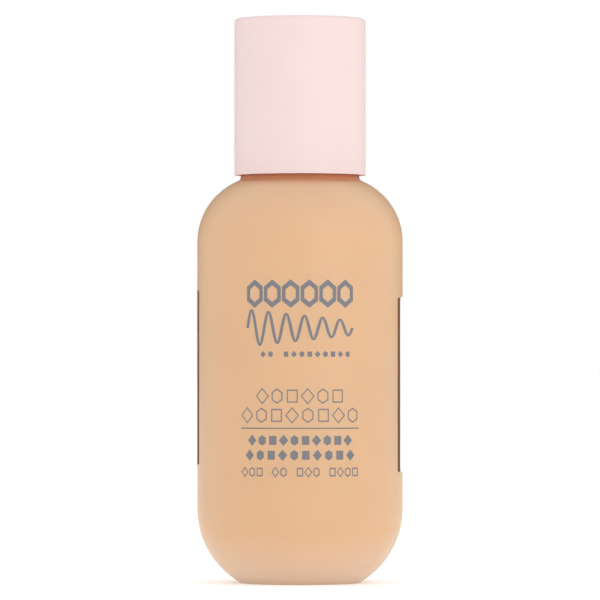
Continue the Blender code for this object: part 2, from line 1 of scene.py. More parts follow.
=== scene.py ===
"""Foundation bottle with a treatment pump under its overcap: finished pieces, finishes, light and camera.

The bottle stands on z = 0 with its axis on Z and its front facing -Y. Sections are lists of
(radius, height) points in millimetres and become metres (MM) where a mesh is made.
"""

import math

import bmesh
import bpy
from mathutils import Matrix, Vector


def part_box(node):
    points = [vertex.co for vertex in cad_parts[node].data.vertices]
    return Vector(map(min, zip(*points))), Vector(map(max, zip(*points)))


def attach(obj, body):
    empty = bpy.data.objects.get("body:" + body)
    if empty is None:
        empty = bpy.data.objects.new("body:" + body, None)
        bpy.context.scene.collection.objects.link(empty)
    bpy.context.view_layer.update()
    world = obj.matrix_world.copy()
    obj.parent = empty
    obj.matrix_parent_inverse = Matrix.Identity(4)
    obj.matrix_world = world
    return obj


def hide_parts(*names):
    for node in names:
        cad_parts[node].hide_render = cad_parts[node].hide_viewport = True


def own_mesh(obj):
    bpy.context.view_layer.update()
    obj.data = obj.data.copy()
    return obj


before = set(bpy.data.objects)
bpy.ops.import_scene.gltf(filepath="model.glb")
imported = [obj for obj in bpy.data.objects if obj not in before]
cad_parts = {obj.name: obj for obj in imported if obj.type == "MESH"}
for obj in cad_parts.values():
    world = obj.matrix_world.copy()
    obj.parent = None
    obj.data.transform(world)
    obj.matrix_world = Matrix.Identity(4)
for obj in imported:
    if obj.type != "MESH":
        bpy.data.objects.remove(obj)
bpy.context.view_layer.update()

MM = 0.001

# Sizes read from the frame, in millimetres
PRINT_ROOM = 0.03       # the glass stays this much inside its outline, so that the print does too
BODY_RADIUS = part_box("bottle")[1].x / MM - PRINT_ROOM
NECK_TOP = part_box("bottle")[1].z / MM
CAP_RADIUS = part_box("overcap")[1].x / MM
CAP_BOTTOM, CAP_TOP = (corner.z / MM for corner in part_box("overcap"))
SHROUD_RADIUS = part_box("collar_shroud")[1].x / MM
SHROUD_BOTTOM, CHIMNEY_TOP = (corner.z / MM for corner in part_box("collar_shroud"))
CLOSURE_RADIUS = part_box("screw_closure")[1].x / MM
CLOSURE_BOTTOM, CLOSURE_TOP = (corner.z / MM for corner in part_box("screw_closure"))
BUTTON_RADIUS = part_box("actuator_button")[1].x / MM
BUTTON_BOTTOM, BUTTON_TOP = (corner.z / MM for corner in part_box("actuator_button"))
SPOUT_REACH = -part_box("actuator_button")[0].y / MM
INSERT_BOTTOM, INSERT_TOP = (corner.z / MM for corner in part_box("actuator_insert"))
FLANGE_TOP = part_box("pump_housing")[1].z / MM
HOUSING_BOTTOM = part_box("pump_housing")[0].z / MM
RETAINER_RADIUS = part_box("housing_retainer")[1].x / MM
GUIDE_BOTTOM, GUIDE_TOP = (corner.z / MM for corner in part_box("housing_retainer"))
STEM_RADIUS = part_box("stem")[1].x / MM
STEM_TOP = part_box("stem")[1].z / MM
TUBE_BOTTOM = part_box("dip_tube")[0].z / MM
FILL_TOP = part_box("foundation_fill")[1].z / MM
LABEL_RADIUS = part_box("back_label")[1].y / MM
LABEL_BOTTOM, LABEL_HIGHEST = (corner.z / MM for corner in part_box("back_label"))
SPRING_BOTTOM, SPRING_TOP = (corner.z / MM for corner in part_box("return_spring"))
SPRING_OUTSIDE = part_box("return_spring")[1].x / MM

# Bottle, as the glass maker draws it
WALL = 4.8
BASE_FILLET = 1.12
HEEL_RADIUS = 14.8
HEEL_TOP = 12.9
SHOULDER_RADIUS = 11.51
SHOULDER_START = 59.55
LAND_RADIUS = 10.36
LAND_FILLET = 0.9
LAND_TOP = 71.17
REST_INNER_RADIUS = 7.6
PUSH_UP = 0.6
NECK_RADIUS = 7.6
BORE_RADIUS = 5.0
BORE_MOUTH = 1.49
FLOOR = 6.0
FLOOR_CORNER = 7.5
THREAD_PITCH = 3.0
PUSH_UP_RUN = 1.2        # the push-up slopes down to the resting ring over this width
PUSH_UP_FILLET = 1.0
REST_FILLET = 0.3
REST_MIDDLE = 9.0
LAND_EDGE = 0.15
NECK_FILLET = 0.4        # at the neck's foot and round its rim
MOUTH_MIDDLE = 6.4       # where the rim's outer half meets its inner half
MOUTH_FILLET = 0.3
MOUTH_DEPTH = 2.0

# Pump, where the frame doesn't say
CLOSURE_BORE = 8.9
GUIDE_HOLE = 2.75
CHIMNEY_RADIUS = 7.4
SPOUT_HEIGHT = 94.2
SPRING_WIRE = 0.25       # its radius
SPRING_COILS = 6.5
CLOSED_COILS = 1.15      # at each end

# Label, angles in degrees round from the front, towards +X first
LABEL_START = 75.0
LABEL_END = 278.0
LABEL_SKEW = 1.3
LABEL_FILM = 0.07
DRAWN_FILM = 0.1         # the film as the frame has it
PRINT_OUT = 0.017        # middle of the print, out from the glass
PRINT_THICKNESS = 0.018
RULE_CORNER = 0.08

SIDES = 160
FINE_STEP = 4.0      # degrees of arc between points on a drawn section
MERGE = 0.002        # points nearer than this become one, which closes each piece where it crosses the axis

PEACH = (0.82, 0.52, 0.295)
# paler peach: painted light from the floor towards the foot, and mixed in a little up the shoulder
PALE_PEACH = (0.865, 0.635, 0.465)
# painted shade colour for the corner under the cap
SHADED_PEACH = (0.72, 0.22, 0.09)


# ---------------------------------------------------------------- sections

def arc(centre, radius, start, end):
    """Points on a round stretch of a section, with angles in degrees from outward to upward."""
    steps = max(2, math.ceil(abs(end - start) / FINE_STEP))
    turns = [math.radians(start + (end - start) * i / steps) for i in range(steps + 1)]
    return [(centre[0] + radius * math.cos(t), centre[1] + radius * math.sin(t)) for t in turns]


def rounded(points):
    """Replaces each corner given as (radius, height, fillet) by an arc that meets both its sides."""
    result = []
    for i, point in enumerate(points):
        if len(point) == 2:
            result.append(point)
            continue
        here = Vector(point[:2])
        back = (Vector(points[i - 1][:2]) - here).normalized()
        ahead = (Vector(points[(i + 1) % len(points)][:2]) - here).normalized()
        half = back.angle(ahead) / 2
        centre = here + (back + ahead).normalized() * point[2] / math.sin(half)
        first = here + back * point[2] / math.tan(half) - centre
        last = here + ahead * point[2] / math.tan(half) - centre
        start = math.degrees(math.atan2(first.y, first.x))
        sweep = math.degrees(math.atan2(last.y, last.x)) - start
        sweep = (sweep + 180) % 360 - 180
        result += arc(centre, point[2], start, start + sweep)
    return result


def land_joint():
    """Centre of the hollow fillet where the shoulder meets the land, and its angle."""
    reach = SHOULDER_RADIUS + LAND_FILLET
    across = LAND_RADIUS + LAND_FILLET - (BODY_RADIUS - SHOULDER_RADIUS)
    up = math.sqrt(reach ** 2 - across ** 2)
    return (LAND_RADIUS + LAND_FILLET, SHOULDER_START + up), math.degrees(math.atan2(up, across))


def heel_joint():
    """Centre of the base fillet inside the heel arc, and the angle where they meet."""
    reach = HEEL_RADIUS - BASE_FILLET
    drop = HEEL_TOP - BASE_FILLET
    across = math.sqrt(reach ** 2 - drop ** 2)
    centre = (BODY_RADIUS - HEEL_RADIUS + across, BASE_FILLET)
    return centre, math.degrees(math.atan2(-drop, across))


def outside_of_glass():
    base_centre, heel_angle = heel_joint()
    land_centre, land_angle = land_joint()
    heel_centre = (BODY_RADIUS - HEEL_RADIUS, HEEL_TOP)
    shoulder_centre = (BODY_RADIUS - SHOULDER_RADIUS, SHOULDER_START)
    section = rounded([
        (0.0, PUSH_UP), (REST_INNER_RADIUS - PUSH_UP_RUN, PUSH_UP, PUSH_UP_FILLET),
        (REST_INNER_RADIUS, 0.0, REST_FILLET), (REST_MIDDLE, 0.0),
    ])
    section += arc(base_centre, BASE_FILLET, -90, heel_angle)
    section += arc(heel_centre, HEEL_RADIUS, heel_angle, 0)[1:]
    section += arc(shoulder_centre, SHOULDER_RADIUS, 0, land_angle)
    section += arc(land_centre, LAND_FILLET, land_angle + 180, 180)[1:-1]
    section += rounded([
        (LAND_RADIUS, LAND_TOP - 2 * LAND_EDGE), (LAND_RADIUS, LAND_TOP, LAND_EDGE),
        (NECK_RADIUS, LAND_TOP, NECK_FILLET), (NECK_RADIUS, NECK_TOP, NECK_FILLET), (MOUTH_MIDDLE, NECK_TOP),
    ])
    return section


def inside_of_glass(gap=0.0):
    """The hollow from the bore down to the floor, drawn in by a gap."""
    inner = BODY_RADIUS - WALL
    centre_radius = BODY_RADIUS - SHOULDER_RADIUS
    inner_shoulder = SHOULDER_RADIUS - WALL
    mouth = (centre_radius, SHOULDER_START + inner_shoulder + BORE_MOUTH)
    section = arc(mouth, BORE_MOUTH + gap, 180, 270)
    section += arc((centre_radius, SHOULDER_START), inner_shoulder - gap, 90, 0)[1:]
    section += arc((inner - FLOOR_CORNER, FLOOR + FLOOR_CORNER), FLOOR_CORNER - gap, 0, -90)
    section += [(0.0, FLOOR + gap)]
    return section


# ---------------------------------------------------------------- node trees

class Tree:
    """A Geometry Nodes tree with named inputs, which makes a piece's plain mesh."""

    def __init__(self, name, **inputs):
        self.group = bpy.data.node_groups.new(name, "GeometryNodeTree")
        self.identifiers = {}
        for label, kind in inputs.items():
            socket = self.group.interface.new_socket(
                label.replace("_", " "), in_out="INPUT", socket_type="NodeSocket" + kind)
            self.identifiers[label] = socket.identifier
        self.group.interface.new_socket("Piece", in_out="OUTPUT", socket_type="NodeSocketGeometry")
        self.given = self.group.nodes.new("NodeGroupInput")
        self.made = self.group.nodes.new("NodeGroupOutput")

    def input(self, label):
        return self.given.outputs[label.replace("_", " ")]

    def add(self, kind, wires=None, **settings):
        """Adds a node, sets its options, and links or sets each of its sockets."""
        node = self.group.nodes.new(kind)
        for option, value in settings.items():
            setattr(node, option, value)
        for socket, value in (wires or {}).items():
            if isinstance(value, bpy.types.NodeSocket):
                self.group.links.new(value, node.inputs[socket])
            else:
                node.inputs[socket].default_value = value
        return node

    def math(self, operation, first, second=0.0, third=0.0):
        return self.add("ShaderNodeMath", {0: first, 1: second, 2: third}, operation=operation).outputs[0]

    def line(self, count):
        """A straight line of points to be bent, with the share of its length at each point."""
        line = self.add("GeometryNodeMeshLine", {"Count": count}).outputs[0]
        last = self.math("SUBTRACT", count, 1.0)
        index = self.add("GeometryNodeInputIndex").outputs[0]
        return line, self.math("DIVIDE", index, last)

    def between(self, source, low, high, start=0.0, end=1.0):
        return self.add("ShaderNodeMapRange", {
            "Value": source, "From Min": start, "From Max": end, "To Min": low, "To Max": high,
        }).outputs[0]

    def moved(self, geometry, x, y, z):
        """Sets where each point lies."""
        place = self.add("ShaderNodeCombineXYZ", {"X": x, "Y": y, "Z": z}).outputs[0]
        return self.add("GeometryNodeSetPosition", {"Geometry": geometry, "Position": place}).outputs[0]

    def place(self):
        """The three coordinates of each point."""
        here = self.add("GeometryNodeInputPosition").outputs[0]
        return self.add("ShaderNodeSeparateXYZ", {0: here}).outputs

    def wrapped(self, geometry, radius, slope=0.0):
        """Wraps flat art round the Z axis, with its X along the arc, its Y outward and the front at X = 0."""
        along, out, up = self.place()
        angle = self.math("DIVIDE", along, radius)
        reach = self.math("ADD", radius, out)
        x = self.math("MULTIPLY", reach, self.math("SINE", angle))
        y = self.math("MULTIPLY", self.math("MULTIPLY", reach, -1.0), self.math("COSINE", angle))
        return self.moved(geometry, x, y, self.math("MULTIPLY_ADD", along, slope, up))

    def finish(self, geometry, material):
        """Ends the tree with real geometry in one finish."""
        real = self.add("GeometryNodeRealizeInstances", {"Geometry": geometry}).outputs[0]
        merged = self.add("GeometryNodeMergeByDistance", {
            "Geometry": real, "Distance": MERGE * MM,
        }).outputs[0]
        finished = self.add("GeometryNodeSetMaterial", {"Geometry": merged, "Material": material}).outputs[0]
        self.group.links.new(finished, self.made.inputs["Piece"])

    def make(self, name, start=None, sharp=35.0, **values):
        """Runs the tree on a starting mesh and keeps what it makes as a plain mesh object."""
        holder = bpy.data.objects.new(name + "_maker", start or bpy.data.meshes.new(name + "_start"))
        bpy.context.scene.collection.objects.link(holder)
        modifier = holder.modifiers.new("maker", "NODES")
        modifier.node_group = self.group
        for label, value in values.items():
            modifier[self.identifiers[label]] = value
        shown = holder.evaluated_get(bpy.context.evaluated_depsgraph_get())
        mesh = bpy.data.meshes.new_from_object(shown)
        bpy.data.objects.remove(holder, do_unlink=True)
        mesh.materials.clear()
        mesh.materials.append(values["Finish"])
        return piece_from(name, mesh, sharp)


def piece_from(name, mesh, sharp=35.0):
    """A mesh as a piece in the scene: faces out, smooth but for its real edges."""
    builder = bmesh.new()
    builder.from_mesh(mesh)
    bmesh.ops.recalc_face_normals(builder, faces=builder.faces)
    for face in builder.faces:
        face.material_index = 0
    builder.to_mesh(mesh)
    builder.free()
    mesh.name = name
    mesh.shade_smooth()
    mesh.set_sharp_from_angle(angle=math.radians(sharp))
    piece = bpy.data.objects.new(name, mesh)
    bpy.context.scene.collection.objects.link(piece)
    return piece


def flat_points(points, closed=False):
    """A start mesh of (across, up) points in the XZ plane, closed into a loop if asked."""
    mesh = bpy.data.meshes.new("flat_points")
    edges = [(i, (i + 1) % len(points)) for i in range(len(points))] if closed else []
    mesh.from_pydata([(x * MM, 0.0, z * MM) for x, z in points], edges, [])
    return mesh


def turning_tree():
    """Turns a section, drawn in the XZ plane, once round the Z axis."""
    tree = Tree("turning", Section="Geometry", Sides="Int", Finish="Material")
    curve = tree.add("GeometryNodeMeshToCurve", {"Mesh": tree.input("Section")}).outputs[0]
    profile = tree.add("GeometryNodeTransform", {
        "Geometry": curve, "Translation": (-1.0, 0.0, 0.0), "Rotation": (math.pi / 2, 0.0, 0.0),
    }).outputs[0]
    circle = tree.add("GeometryNodeCurvePrimitiveCircle", {"Resolution": tree.input("Sides"), "Radius": 1.0})
    upright = tree.add("GeometryNodeSetCurveNormal", {"Curve": circle.outputs[0]}, mode="Z_UP").outputs[0]
    turned = tree.add("GeometryNodeCurveToMesh", {"Curve": upright, "Profile Curve": profile}).outputs[0]
    tree.finish(turned, tree.input("Finish"))
    return tree


TURNING = turning_tree()


def turned(name, section, material, sides=SIDES, sharp=35.0):
    """A body of revolution. A section that starts and ends on the axis is closed by the axis."""
    start = bpy.data.meshes.new(name + "_section")
    count = len(section)
    open_ends = section[0][0] == 0.0 and section[-1][0] == 0.0
    edges = [(i, (i + 1) % count) for i in range(count - open_ends)]
    start.from_pydata([(r * MM, 0.0, z * MM) for r, z in section], edges, [])
    return TURNING.make(name, start, sharp, Sides=sides, Finish=material)


def joined(name, pieces, sharp=35.0):
    """Several pieces as one, each still a closed body."""
    builder = bmesh.new()
    for piece in pieces:
        builder.from_mesh(piece.data)
    mesh = bpy.data.meshes.new(name)
    builder.to_mesh(mesh)
    builder.free()
    mesh.materials.append(pieces[0].data.materials[0])
    for piece in pieces:
        bpy.data.objects.remove(piece, do_unlink=True)
    return piece_from(name, mesh, sharp)


def film_tree():
    """A thin film with rounded corners, wrapped round the axis; sizes in metres, along the arc."""
    tree = Tree(
        "film", Width="Float", Height="Float", Thickness="Float", Columns="Int", Corner="Float",
        Along="Float", Up="Float", Out="Float", Radius="Float", Slope="Float", Finish="Material",
    )
    cube = tree.add("GeometryNodeMeshCube", {
        "Size": (1.0, 1.0, 1.0), "Vertices X": tree.input("Columns"), "Vertices Y": 2, "Vertices Z": 5,
    }).outputs[0]
    x, y, z = tree.place()
    width, corner = tree.input("Width"), tree.input("Corner")
    from_end = tree.math("MULTIPLY", tree.math("SUBTRACT", 0.5, tree.math("ABSOLUTE", x)), width)
    share = tree.between(tree.math("DIVIDE", from_end, corner), 1.0, 0.0)
    rise = tree.math("SQRT", tree.math("SUBTRACT", 1.0, tree.math("MULTIPLY", share, share)))
    inset = tree.math("MULTIPLY", corner, tree.math("SUBTRACT", 1.0, rise))
    height = tree.math("SUBTRACT", tree.input("Height"), tree.math("MULTIPLY", inset, 2.0))
    flat = tree.moved(
        cube, tree.math("MULTIPLY_ADD", x, width, tree.input("Along")),
        tree.math("MULTIPLY_ADD", y, tree.input("Thickness"), tree.input("Out")),
        tree.math("MULTIPLY_ADD", z, height, tree.input("Up")),
    )
    tree.finish(tree.wrapped(flat, tree.input("Radius"), tree.input("Slope")), tree.input("Finish"))
    return tree


def marks_tree():
    """The same small mark at every point of a flat start mesh, wrapped round the axis."""
    tree = Tree(
        "marks", Points="Geometry", Sides="Int", Turn="Float", Size="Vector", Stroke="Float",
        Thickness="Float", Out="Float", Radius="Float", Slope="Float", Finish="Material",
    )
    solid = tree.add("GeometryNodeMeshCylinder", {
        "Vertices": tree.input("Sides"), "Side Segments": 1, "Fill Segments": 2,
        "Radius": 1.0, "Depth": tree.input("Thickness"),
    }, fill_type="TRIANGLE_FAN").outputs[0]
    ring = tree.add("GeometryNodeCurvePrimitiveCircle", {"Resolution": tree.input("Sides"), "Radius": 1.0})
    line = tree.add("GeometryNodeCurvePrimitiveQuadrilateral", {
        "Width": tree.input("Stroke"), "Height": tree.input("Thickness"),
    }).outputs[0]
    outline = tree.add("GeometryNodeCurveToMesh", {
        "Curve": ring.outputs[0], "Profile Curve": line,
    }).outputs[0]
    hollow = tree.add("FunctionNodeCompare", {0: tree.input("Stroke"), 1: 0.0}, operation="GREATER_THAN")
    mark = tree.add("GeometryNodeSwitch", {
        "Switch": hollow.outputs[0], "False": solid, "True": outline,
    }, input_type="GEOMETRY").outputs[0]
    turn = tree.add("ShaderNodeCombineXYZ", {"Z": tree.input("Turn")}).outputs[0]
    turned_mark = tree.add("GeometryNodeTransform", {"Geometry": mark, "Rotation": turn}).outputs[0]
    upright = tree.add("GeometryNodeTransform", {
        "Geometry": turned_mark, "Rotation": (math.pi / 2, 0.0, 0.0), "Scale": tree.input("Size"),
    }).outputs[0]
    spread = tree.add("GeometryNodeInstanceOnPoints", {"Points": tree.input("Points"), "Instance": upright})
    real = tree.add("GeometryNodeRealizeInstances", {"Geometry": spread.outputs[0]}).outputs[0]
    lifted = tree.add("ShaderNodeCombineXYZ", {"Y": tree.input("Out")}).outputs[0]
    flat = tree.add("GeometryNodeSetPosition", {"Geometry": real, "Offset": lifted}).outputs[0]
    tree.finish(tree.wrapped(flat, tree.input("Radius"), tree.input("Slope")), tree.input("Finish"))
    return tree


def wave_tree():
    """A drawn stroke that waves along the arc and dies away, wrapped round the axis."""
    tree = Tree(
        "wave", Width="Float", Waves="Float", Tall="Float", Low="Float", Stroke="Float", Thickness="Float",
        Up="Float", Out="Float", Radius="Float", Finish="Material",
    )
    line, share = tree.line(360)
    angle = tree.math("MULTIPLY", tree.math("MULTIPLY", share, tree.input("Waves")), math.tau)
    swing = tree.between(share, tree.input("Tall"), tree.input("Low"))
    height = tree.math("MULTIPLY_ADD", tree.math("SINE", angle), swing, tree.input("Up"))
    along = tree.math("MULTIPLY", tree.math("SUBTRACT", share, 0.5), tree.input("Width"))
    bent = tree.moved(line, along, tree.input("Out"), height)
    curve = tree.add("GeometryNodeMeshToCurve", {"Mesh": bent}).outputs[0]
    level = tree.add("GeometryNodeSetCurveNormal", {"Curve": curve, "Normal": (0.0, 1.0, 0.0)}, mode="FREE")
    pen = tree.add("GeometryNodeCurvePrimitiveQuadrilateral", {
        "Width": tree.input("Thickness"), "Height": tree.input("Stroke"),
    }).outputs[0]
    weight = tree.math("MULTIPLY_ADD", tree.math("ABSOLUTE", tree.math("COSINE", angle)), 0.45, 0.75)
    stroke = tree.add("GeometryNodeCurveToMesh", {
        "Curve": level.outputs[0], "Profile Curve": pen, "Scale": weight, "Fill Caps": True,
    }).outputs[0]
    tree.finish(tree.wrapped(stroke, tree.input("Radius")), tree.input("Finish"))
    return tree


def ridge_tree():
    """A right-hand thread ridge that fades out at both ends; its section starts at the wall."""
    tree = Tree(
        "thread_ridge", Section="Geometry", Wall="Float", Start="Float", Pitch="Float", Turns="Float",
        Finish="Material",
    )
    line, share = tree.line(160)
    turned_by = tree.math("MULTIPLY", share, tree.input("Turns"))
    angle = tree.math("MULTIPLY", turned_by, math.tau)
    helix = tree.moved(
        line, tree.math("MULTIPLY", tree.math("COSINE", angle), tree.input("Wall")),
        tree.math("MULTIPLY", tree.math("SINE", angle), tree.input("Wall")),
        tree.math("MULTIPLY_ADD", turned_by, tree.input("Pitch"), tree.input("Start")),
    )
    curve = tree.add("GeometryNodeMeshToCurve", {"Mesh": helix}).outputs[0]
    upright = tree.add("GeometryNodeSetCurveNormal", {"Curve": curve}, mode="Z_UP").outputs[0]
    section = tree.add("GeometryNodeMeshToCurve", {"Mesh": tree.input("Section")}).outputs[0]
    profile = tree.add("GeometryNodeTransform", {
        "Geometry": section, "Rotation": (math.pi / 2, 0.0, 0.0),
    }).outputs[0]
    to_end = tree.math("MINIMUM", share, tree.math("SUBTRACT", 1.0, share))
    fade = tree.between(tree.math("MULTIPLY", to_end, tree.input("Turns")), 0.15, 1.0, 0.0, 0.12)
    ridge = tree.add("GeometryNodeCurveToMesh", {
        "Curve": upright, "Profile Curve": profile, "Scale": fade, "Fill Caps": True,
    }).outputs[0]
    tree.finish(ridge, tree.input("Finish"))
    return tree


def spring_tree():
    """A compression spring with its end coils closed."""
    tree = Tree(
        "spring", Coil="Float", Wire="Float", Low="Float", High="Float", Turns="Float", Closed="Float",
        Finish="Material",
    )
    line, share = tree.line(420)
    closed = tree.math("DIVIDE", tree.input("Closed"), tree.input("Turns"))
    ending = tree.math("SUBTRACT", 1.0, closed)
    rise = tree.math("MULTIPLY", tree.math("MULTIPLY", tree.input("Wire"), 2.2), tree.input("Closed"))
    span = tree.math("SUBTRACT", tree.input("High"), tree.input("Low"))
    open_rise = tree.math("MULTIPLY_ADD", rise, -2.0, span)
    first = tree.between(share, 0.0, rise, 0.0, closed)
    middle = tree.between(share, 0.0, open_rise, closed, ending)
    last = tree.between(share, 0.0, rise, ending, 1.0)
    height = tree.math("ADD", tree.math("ADD", tree.input("Low"), first), tree.math("ADD", middle, last))
    angle = tree.math("MULTIPLY", tree.math("MULTIPLY", share, tree.input("Turns")), math.tau)
    coil = tree.moved(
        line, tree.math("MULTIPLY", tree.math("COSINE", angle), tree.input("Coil")),
        tree.math("MULTIPLY", tree.math("SINE", angle), tree.input("Coil")), height,
    )
    curve = tree.add("GeometryNodeMeshToCurve", {"Mesh": coil}).outputs[0]
    wire = tree.add("GeometryNodeCurvePrimitiveCircle", {"Resolution": 12, "Radius": tree.input("Wire")})
    spring = tree.add("GeometryNodeCurveToMesh", {
        "Curve": curve, "Profile Curve": wire.outputs[0], "Fill Caps": True,
    }).outputs[0]
    tree.finish(spring, tree.input("Finish"))
    return tree


def ribs_tree():
    """Upright round ribs, evenly spaced inside a wall."""
    tree = Tree(
        "ribs", Count="Int", Circle="Float", Rib="Float", Low="Float", High="Float", Finish="Material",
    )
    length = tree.math("SUBTRACT", tree.input("High"), tree.input("Low"))
    middle = tree.math("MULTIPLY", tree.math("ADD", tree.input("High"), tree.input("Low")), 0.5)
    rib = tree.add("GeometryNodeMeshCylinder", {
        "Vertices": 24, "Side Segments": 4, "Radius": tree.input("Rib"), "Depth": length,
    }).outputs[0]
    ring = tree.add("GeometryNodeMeshCircle", {
        "Vertices": tree.input("Count"), "Radius": tree.input("Circle"),
    })
    half_step = tree.math("DIVIDE", math.pi, tree.input("Count"))
    turn = tree.add("ShaderNodeCombineXYZ", {"Z": half_step}).outputs[0]
    lift = tree.add("ShaderNodeCombineXYZ", {"Z": middle}).outputs[0]
    feet = tree.add("GeometryNodeTransform", {
        "Geometry": ring.outputs[0], "Rotation": turn, "Translation": lift,
    }).outputs[0]
    ribs = tree.add("GeometryNodeInstanceOnPoints", {"Points": feet, "Instance": rib}).outputs[0]
    tree.finish(ribs, tree.input("Finish"))
    return tree


FILM = film_tree()
MARKS = marks_tree()
WAVE = wave_tree()
RIDGE = ridge_tree()
SPRING = spring_tree()
RIBS = ribs_tree()

# ---------------------------------------------------------------- finishes

class Finish:
    """A Principled finish whose patterns read the piece's own coordinates, in metres."""

    def __init__(self, name, colour, **values):
        self.material = bpy.data.materials.new(name)
        self.material.use_nodes = True
        self.nodes = self.material.node_tree.nodes
        self.links = self.material.node_tree.links
        self.shader = self.nodes["Principled BSDF"]
        self.shader.inputs["Base Color"].default_value = (*colour, 1.0)
        for label, value in values.items():
            self.shader.inputs[label.replace("_", " ")].default_value = value
        self.place = self.nodes.new("ShaderNodeTexCoord").outputs["Object"]

    def add(self, kind, wires, **settings):
        node = self.nodes.new(kind)
        for option, value in settings.items():
            setattr(node, option, value)
        for socket, value in wires.items():
            if isinstance(value, bpy.types.NodeSocket):
                self.links.new(value, node.inputs[socket])
            else:
                node.inputs[socket].default_value = value
        return node

    def noise(self, size_mm, detail=2.0, stretch=(1.0, 1.0, 1.0)):
        """Soft noise with grains of about that size, drawn out along an axis by a stretch under 1."""
        scaled = self.add("ShaderNodeMapping", {"Vector": self.place, "Scale": stretch}).outputs[0]
        return self.add("ShaderNodeTexNoise", {
            "Vector": scaled, "Scale": 1.0 / (size_mm * MM), "Detail": detail, "Roughness": 0.55,
        }).outputs["Fac"]

    def between(self, source, low, high, start=0.3, end=0.7):
        return self.add("ShaderNodeMapRange", {
            "Value": source, "From Min": start, "From Max": end, "To Min": low, "To Max": high,
        }).outputs[0]

    def mixed(self, share, first, second):
        """A colour between two others, each a triple or the output of another node."""
        ends = [(*c, 1.0) if isinstance(c, tuple) else c for c in (first, second)]
        return self.add("ShaderNodeMix", {0: share, 6: ends[0], 7: ends[1]}, data_type="RGBA").outputs[2]

    def colours(self, source, first, second):
        colour = self.mixed(self.between(source, 0.0, 1.0), first, second)
        self.links.new(colour, self.shader.inputs["Base Color"])
        return self

    def roughness(self, source, low, high):
        self.links.new(self.between(source, low, high), self.shader.inputs["Roughness"])
        return self

    def bump(self, source, depth_mm, strength=1.0):
        bump = self.add("ShaderNodeBump", {"Height": source, "Distance": depth_mm * MM, "Strength": strength})
        self.links.new(bump.outputs[0], self.shader.inputs["Normal"])
        return self


def frosted_glass():
    """Satin frosting outside the glass: a warm veil that scatters most of the light and lets the rest in.

    It turns deep orange in the corner under the cap: painted shade where the cap overhangs, coloured like
    light that has bounced off the peach glass twice.
    """
    finish = Finish(
        "frosted_glass", PEACH, Transmission_Weight=0.25, IOR=1.45,
        Subsurface_Weight=0.3, Subsurface_Scale=0.0014, Specular_IOR_Level=0.3,
        Coat_Weight=0.4, Coat_Roughness=0.22,
    )
    finish.shader.inputs["Subsurface Radius"].default_value = (1.0, 0.5, 0.28)
    height = finish.add("ShaderNodeSeparateXYZ", {0: finish.place}).outputs["Z"]
    drift = finish.noise(9.0, 2.0)
    peach = finish.mixed(finish.between(drift, 0.0, 1.0), PEACH, tuple(c * 1.02 for c in PEACH))
    # painted shade: the shoulder turns deep orange just under the cap, strongest at its top
    cap_shadow_band = finish.between(height, 0.0, 1.0, (LAND_TOP - 2.6) * MM, (LAND_TOP - 0.3) * MM)
    cap_shade = finish.add("ShaderNodeMath", {0: cap_shadow_band, 1: 2.0}, operation="POWER").outputs[0]
    # painted light: paler towards the foot, standing in for light thrown up by the floor
    heel = finish.between(height, 1.0, 0.0, 1.0 * MM, 9.0 * MM)
    shoulder = finish.between(height, 0.0, 0.25, SHOULDER_START * MM, (LAND_TOP - 2.6) * MM)
    floor_light_and_pale_shoulder = finish.add("ShaderNodeMath", {0: heel, 1: shoulder}, operation="MAXIMUM").outputs[0]
    colour = finish.mixed(cap_shade, finish.mixed(floor_light_and_pale_shoulder, peach, PALE_PEACH), SHADED_PEACH)
    finish.links.new(colour, finish.shader.inputs["Base Color"])
    finish.roughness(drift, 0.5, 0.58)
    return finish.bump(finish.noise(0.25, 3.0), 0.004, 0.5).material


def clear_glass():
    """The bare glass of the neck and of the inside, which the foundation wets."""
    finish = Finish("clear_glass", (0.985, 0.98, 0.97), Transmission_Weight=1.0, IOR=1.5)
    finish.roughness(finish.noise(1.5, 2.0), 0.04, 0.12)
    return finish.bump(finish.noise(4.0, 2.0), 0.01, 0.3).material


def foundation():
    """Thick peach foundation, a little streaked where it has run down the glass."""
    finish = Finish("foundation", (0.86, 0.62, 0.42), Subsurface_Weight=0.25, Subsurface_Scale=0.002)
    finish.shader.inputs["Subsurface Radius"].default_value = (1.0, 0.45, 0.22)
    streaks = finish.noise(5.0, 3.0, (1.0, 1.0, 0.25))
    finish.colours(streaks, (0.885, 0.625, 0.415), (0.90, 0.655, 0.45))
    return finish.roughness(streaks, 0.28, 0.4).material


def cap_plastic():
    """Pale pink plastic with a fine matte moulded surface."""
    finish = Finish("cap_plastic", (0.86, 0.69, 0.67), Subsurface_Weight=0.15, Subsurface_Scale=0.0015)
    finish.shader.inputs["Subsurface Radius"].default_value = (1.0, 0.6, 0.55)
    drift = finish.noise(7.0, 2.0)
    finish.colours(drift, (0.782, 0.618, 0.6), (0.79, 0.628, 0.61))
    finish.roughness(finish.noise(0.5, 3.0), 0.46, 0.56)
    return finish.bump(finish.noise(0.18, 3.0), 0.006, 0.6).material


def label_film():
    """White satin film with a faint fibre grain."""
    finish = Finish("label_film", (0.93, 0.93, 0.93), Specular_IOR_Level=0.2)
    fibre = finish.noise(0.35, 4.0, (1.0, 1.0, 0.4))
    finish.colours(fibre, (0.925, 0.925, 0.925), (0.95, 0.95, 0.945))
    finish.roughness(finish.noise(2.0), 0.36, 0.46)
    return finish.bump(fibre, 0.004, 0.4).material


def ink(name, colour, shine=0.35):
    """Screen-printed ink with a slightly mottled edge-to-edge cover."""
    finish = Finish(name, colour, Specular_IOR_Level=shine)
    mottle = finish.noise(0.3, 3.0)
    finish.colours(mottle, colour, tuple(min(1.0, c * 1.14) for c in colour))
    finish.roughness(mottle, 0.5, 0.62)
    return finish.bump(mottle, 0.003, 0.4).material


